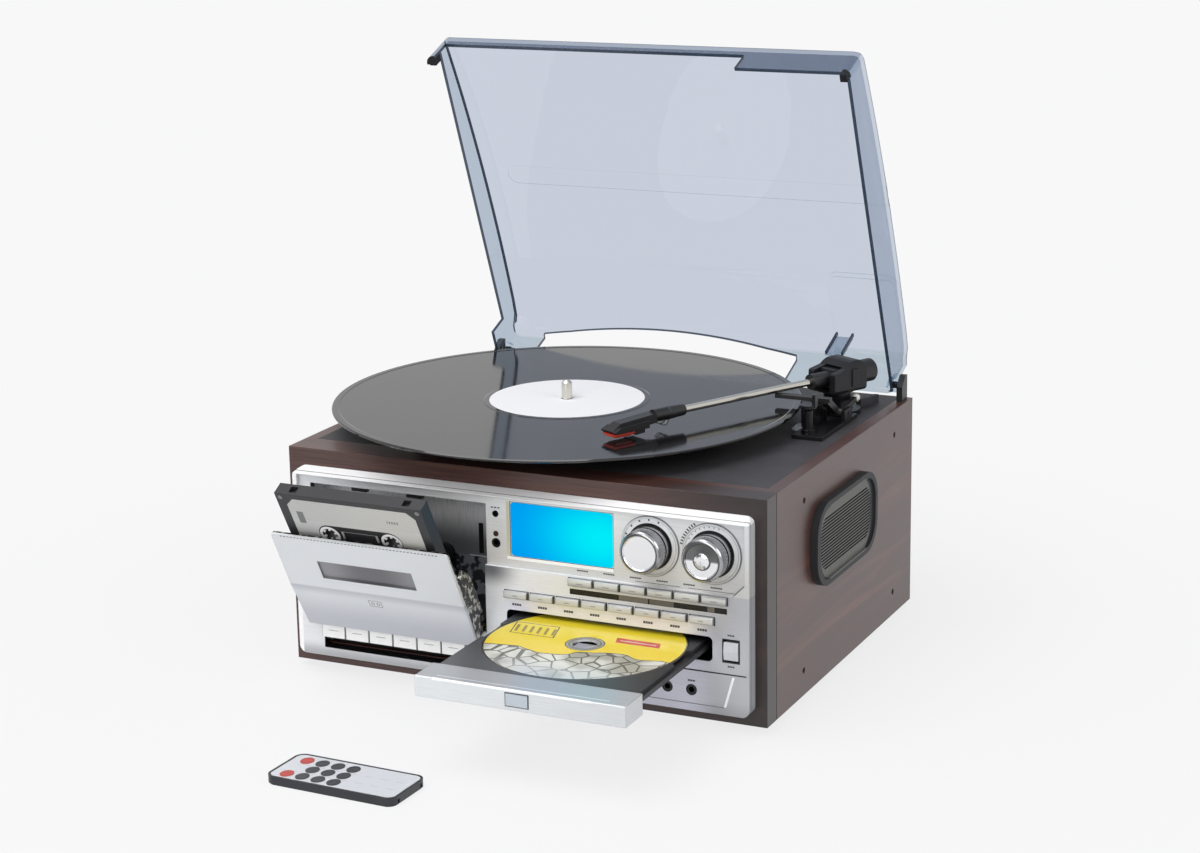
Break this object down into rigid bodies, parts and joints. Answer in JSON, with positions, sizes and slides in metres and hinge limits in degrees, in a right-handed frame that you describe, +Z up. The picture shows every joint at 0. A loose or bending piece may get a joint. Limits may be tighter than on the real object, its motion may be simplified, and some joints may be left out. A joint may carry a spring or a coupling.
{
  "type": "stereo_music_centre",
  "caption": "Wooden tabletop music centre: record deck under a raised clear cover, cassette deck with open door, open disc drawer, lit display, side speakers, remote control",
  "frame": {"origin": "on the standing surface, under the centre of the cabinet's base", "axes": "+X to the right seen from the front, +Y to the back, +Z up; the spindle stands along +Z"},
  "size_m": [0.343, 0.4568, 0.3815],
  "materials": {
    "walnut": "dark reddish walnut veneer, satin lacquer",
    "deck_plastic": "fine-grained dark grey moulding",
    "board": "plain fibreboard",
    "foot_rubber": "soft black rubber",
    "black_plastic": "black moulded plastic",
    "screw_steel": "blackened steel",
    "speaker_cone": "coated cone on a steel basket",
    "silver_panel": "fine silver paint",
    "display_glass": "lit blue display window",
    "circuit": "green circuit board with its parts",
    "clear_cover": "clear, slightly bluish acrylic",
    "platter_metal": "black moulded platter",
    "vinyl": "pressed vinyl with grooves and a paper label",
    "motor_steel": "plated motor can",
    "pulley_brass": "turned brass",
    "belt_rubber": "flat rubber belt",
    "arm_tube": "polished tube",
    "door_silver": "silver door with a grey window",
    "tape_shell": "dark shell with a pale label",
    "key_silver": "silver lacquered key",
    "button_grey": "pale grey button",
    "knob_metal": "polished knob with a bright rim",
    "tray_plastic": "black drawer moulding",
    "disc_print": "printed disc, yellow with grey and white shapes",
    "remote_plastic": "dark remote housing",
    "remote_face": "pale keypad sheet with small keys"
  },
  "bodies": {
    "cabinet": {"front_frame": "walnut", "side_panels": "walnut", "rear_panel": "board", "base_board": "board", "feet": "foot_rubber", "deck_plate": "deck_plastic", "hinge_brackets": "black_plastic", "cabinet_screws": "screw_steel", "speaker_grilles": "black_plastic", "speakers": "speaker_cone", "front_panel": "silver_panel", "display_module": "display_glass", "control_board": "circuit", "main_board": "circuit", "cd_drive": "black_plastic", "cassette_mechanism": "black_plastic", "platter_motor": "motor_steel", "drive_belt": "belt_rubber", "tonearm_base": "black_plastic"},
    "cover": {"dust_cover": "clear_cover"},
    "turntable": {"platter": "platter_metal", "record": "vinyl"},
    "pulley": {"motor_pulley": "pulley_brass"},
    "arm_yoke": {"tonearm_yoke": "black_plastic"},
    "arm": {"tonearm_tube": "arm_tube", "headshell": "black_plastic"},
    "lift_lever": {"cue_lever": "black_plastic"},
    "tape_door": {"cassette_door": "door_silver"},
    "tape": {"cassette": "tape_shell"},
    "reel_left": {"reel_drive_left": "black_plastic"},
    "reel_right": {"reel_drive_right": "black_plastic"},
    "drawer": {"disc_tray": "tray_plastic", "tray_front": "silver_panel"},
    "drawer_button": {"eject_button": "button_grey"},
    "disc_body": {"disc": "disc_print"},
    "remote": {"remote_case": "remote_plastic", "remote_keypad": "remote_face"},
    "knob_left": {"selector_knob": "knob_metal"},
    "knob_right": {"tuning_knob": "knob_metal"},
    "switch": {"power_switch": "button_grey"},
    "key_1_body": {"key_1": "key_silver"},
    "key_2_body": {"key_2": "key_silver"},
    "key_3_body": {"key_3": "key_silver"},
    "key_4_body": {"key_4": "key_silver"},
    "key_5_body": {"key_5": "key_silver"},
    "key_6_body": {"key_6": "key_silver"},
    "top_button_1_body": {"top_button_1": "button_grey"},
    "top_button_2_body": {"top_button_2": "button_grey"},
    "top_button_3_body": {"top_button_3": "button_grey"},
    "top_button_4_body": {"top_button_4": "button_grey"},
    "top_button_5_body": {"top_button_5": "button_grey"},
    "top_button_6_body": {"top_button_6": "button_grey"},
    "lower_button_1_body": {"lower_button_1": "button_grey"},
    "lower_button_2_body": {"lower_button_2": "button_grey"},
    "lower_button_3_body": {"lower_button_3": "button_grey"},
    "lower_button_4_body": {"lower_button_4": "button_grey"},
    "lower_button_5_body": {"lower_button_5": "button_grey"},
    "lower_button_6_body": {"lower_button_6": "button_grey"},
    "lower_button_7_body": {"lower_button_7": "button_grey"},
    "lower_button_8_body": {"lower_button_8": "button_grey"}
  },
  "joints": [
    {"name": "cover_hinge", "type": "hinge", "parent": "cabinet", "child": "cover", "pos_m": [0, 0.1205, 0.1545], "axis": [-1, 0, 0], "range_deg": [-68, 0]},
    {"name": "platter_spin", "type": "hinge", "parent": "cabinet", "child": "turntable", "pos_m": [-0.0267, -0.0064, 0.155], "axis": [0, 0, 1], "continuous": true},
    {"name": "pulley_spin", "type": "hinge", "parent": "cabinet", "child": "pulley", "pos_m": [0.02987, -0.06297, 0.145], "axis": [0, 0, 1], "continuous": true},
    {"name": "arm_swing", "type": "hinge", "parent": "cabinet", "child": "arm_yoke", "pos_m": [0.1273, 0.077, 0.168], "axis": [0, 0, -1], "range_deg": [-31, 16.5]},
    {"name": "arm_tilt", "type": "hinge", "parent": "arm_yoke", "child": "arm", "pos_m": [0.1273, 0.077, 0.168], "axis": [-0.8934, 0.4493, 0], "range_deg": [0, 2.97]},
    {"name": "cue_lift", "type": "hinge", "parent": "cabinet", "child": "lift_lever", "pos_m": [0.1273, 0.049, 0.1515], "axis": [-1, 0, 0], "range_deg": [0, 8]},
    {"name": "door_hinge", "type": "hinge", "parent": "cabinet", "child": "tape_door", "pos_m": [-0.0805, -0.1275, 0.029], "axis": [1, 0, 0], "range_deg": [-29, 0]},
    {"name": "tape_slide", "type": "slide", "parent": "tape_door", "child": "tape", "axis": [0, -0.4848, 0.8746], "range_m": [-0.0406, 0]},
    {"name": "reel_left_spin", "type": "hinge", "parent": "cabinet", "child": "reel_left", "pos_m": [-0.10175, -0.1175, 0.0824], "axis": [0, 1, 0], "continuous": true},
    {"name": "reel_right_spin", "type": "hinge", "parent": "cabinet", "child": "reel_right", "pos_m": [-0.05925, -0.1175, 0.0824], "axis": [0, 1, 0], "continuous": true},
    {"name": "drawer_slide", "type": "slide", "parent": "cabinet", "child": "drawer", "axis": [0, 1, 0], "range_m": [0, 0.1175]},
    {"name": "drawer_button_press", "type": "slide", "parent": "drawer", "child": "drawer_button", "axis": [0, 1, 0], "range_m": [0, 0.001], "stiffness_N_per_m": 300},
    {"name": "disc_spin", "type": "hinge", "parent": "drawer", "child": "disc_body", "pos_m": [0.0625, -0.1703, 0.057], "axis": [0, 0, 1], "continuous": true},
    {"name": "remote_lift", "type": "slide", "parent": "cabinet", "child": "remote", "axis": [0, 0, 1], "range_m": [0, 0.1]},
    {"name": "key_1_press", "type": "hinge", "parent": "cabinet", "child": "key_1_body", "pos_m": [-0.1254, -0.1175, 0.033], "axis": [1, 0, 0], "range_deg": [0, 7], "stiffness_Nm_per_rad": 0.8},
    {"name": "key_2_press", "type": "hinge", "parent": "cabinet", "child": "key_2_body", "pos_m": [-0.1084, -0.1175, 0.033], "axis": [1, 0, 0], "range_deg": [0, 7], "stiffness_Nm_per_rad": 0.8},
    {"name": "key_3_press", "type": "hinge", "parent": "cabinet", "child": "key_3_body", "pos_m": [-0.0914, -0.1175, 0.033], "axis": [1, 0, 0], "range_deg": [0, 7], "stiffness_Nm_per_rad": 0.8},
    {"name": "key_4_press", "type": "hinge", "parent": "cabinet", "child": "key_4_body", "pos_m": [-0.0744, -0.1175, 0.033], "axis": [1, 0, 0], "range_deg": [0, 7], "stiffness_Nm_per_rad": 0.8},
    {"name": "key_5_press", "type": "hinge", "parent": "cabinet", "child": "key_5_body", "pos_m": [-0.0574, -0.1175, 0.033], "axis": [1, 0, 0], "range_deg": [0, 7], "stiffness_Nm_per_rad": 0.8},
    {"name": "key_6_press", "type": "hinge", "parent": "cabinet", "child": "key_6_body", "pos_m": [-0.0404, -0.1175, 0.033], "axis": [1, 0, 0], "range_deg": [0, 7], "stiffness_Nm_per_rad": 0.8},
    {"name": "top_button_1_press", "type": "slide", "parent": "cabinet", "child": "top_button_1_body", "axis": [0, 1, 0], "range_m": [0, 0.001], "stiffness_N_per_m": 300},
    {"name": "top_button_2_press", "type": "slide", "parent": "cabinet", "child": "top_button_2_body", "axis": [0, 1, 0], "range_m": [0, 0.001], "stiffness_N_per_m": 300},
    {"name": "top_button_3_press", "type": "slide", "parent": "cabinet", "child": "top_button_3_body", "axis": [0, 1, 0], "range_m": [0, 0.001], "stiffness_N_per_m": 300},
    {"name": "top_button_4_press", "type": "slide", "parent": "cabinet", "child": "top_button_4_body", "axis": [0, 1, 0], "range_m": [0, 0.001], "stiffness_N_per_m": 300},
    {"name": "top_button_5_press", "type": "slide", "parent": "cabinet", "child": "top_button_5_body", "axis": [0, 1, 0], "range_m": [0, 0.001], "stiffness_N_per_m": 300},
    {"name": "top_button_6_press", "type": "slide", "parent": "cabinet", "child": "top_button_6_body", "axis": [0, 1, 0], "range_m": [0, 0.001], "stiffness_N_per_m": 300},
    {"name": "lower_button_1_press", "type": "slide", "parent": "cabinet", "child": "lower_button_1_body", "axis": [0, 1, 0], "range_m": [0, 0.001], "stiffness_N_per_m": 300},
    {"name": "lower_button_2_press", "type": "slide", "parent": "cabinet", "child": "lower_button_2_body", "axis": [0, 1, 0], "range_m": [0, 0.001], "stiffness_N_per_m": 300},
    {"name": "lower_button_3_press", "type": "slide", "parent": "cabinet", "child": "lower_button_3_body", "axis": [0, 1, 0], "range_m": [0, 0.001], "stiffness_N_per_m": 300},
    {"name": "lower_button_4_press", "type": "slide", "parent": "cabinet", "child": "lower_button_4_body", "axis": [0, 1, 0], "range_m": [0, 0.001], "stiffness_N_per_m": 300},
    {"name": "lower_button_5_press", "type": "slide", "parent": "cabinet", "child": "lower_button_5_body", "axis": [0, 1, 0], "range_m": [0, 0.001], "stiffness_N_per_m": 300},
    {"name": "lower_button_6_press", "type": "slide", "parent": "cabinet", "child": "lower_button_6_body", "axis": [0, 1, 0], "range_m": [0, 0.001], "stiffness_N_per_m": 300},
    {"name": "lower_button_7_press", "type": "slide", "parent": "cabinet", "child": "lower_button_7_body", "axis": [0, 1, 0], "range_m": [0, 0.001], "stiffness_N_per_m": 300},
    {"name": "lower_button_8_press", "type": "slide", "parent": "cabinet", "child": "lower_button_8_body", "axis": [0, 1, 0], "range_m": [0, 0.001], "stiffness_N_per_m": 300},
    {"name": "knob_left_turn", "type": "hinge", "parent": "cabinet", "child": "knob_left", "pos_m": [0.0896, -0.1445, 0.1103], "axis": [0, -1, 0], "range_deg": [-140, 140]},
    {"name": "knob_right_turn", "type": "hinge", "parent": "cabinet", "child": "knob_right", "pos_m": [0.1289, -0.1445, 0.1103], "axis": [0, -1, 0], "continuous": true},
    {"name": "switch_rock", "type": "hinge", "parent": "cabinet", "child": "switch", "pos_m": [0.14165, -0.1305, 0.0531], "axis": [1, 0, 0], "range_deg": [-4.5, 4.5]}
  ],
  "couplings": [
    {"joint": "pulley_spin", "follows": "platter_spin", "ratio": 12},
    {"joint": "arm_tilt", "follows": "cue_lift", "ratio": 0.3714},
    {"joint": "tape_slide", "follows": "door_hinge", "m_per_rad": 0.08021}
  ]
}
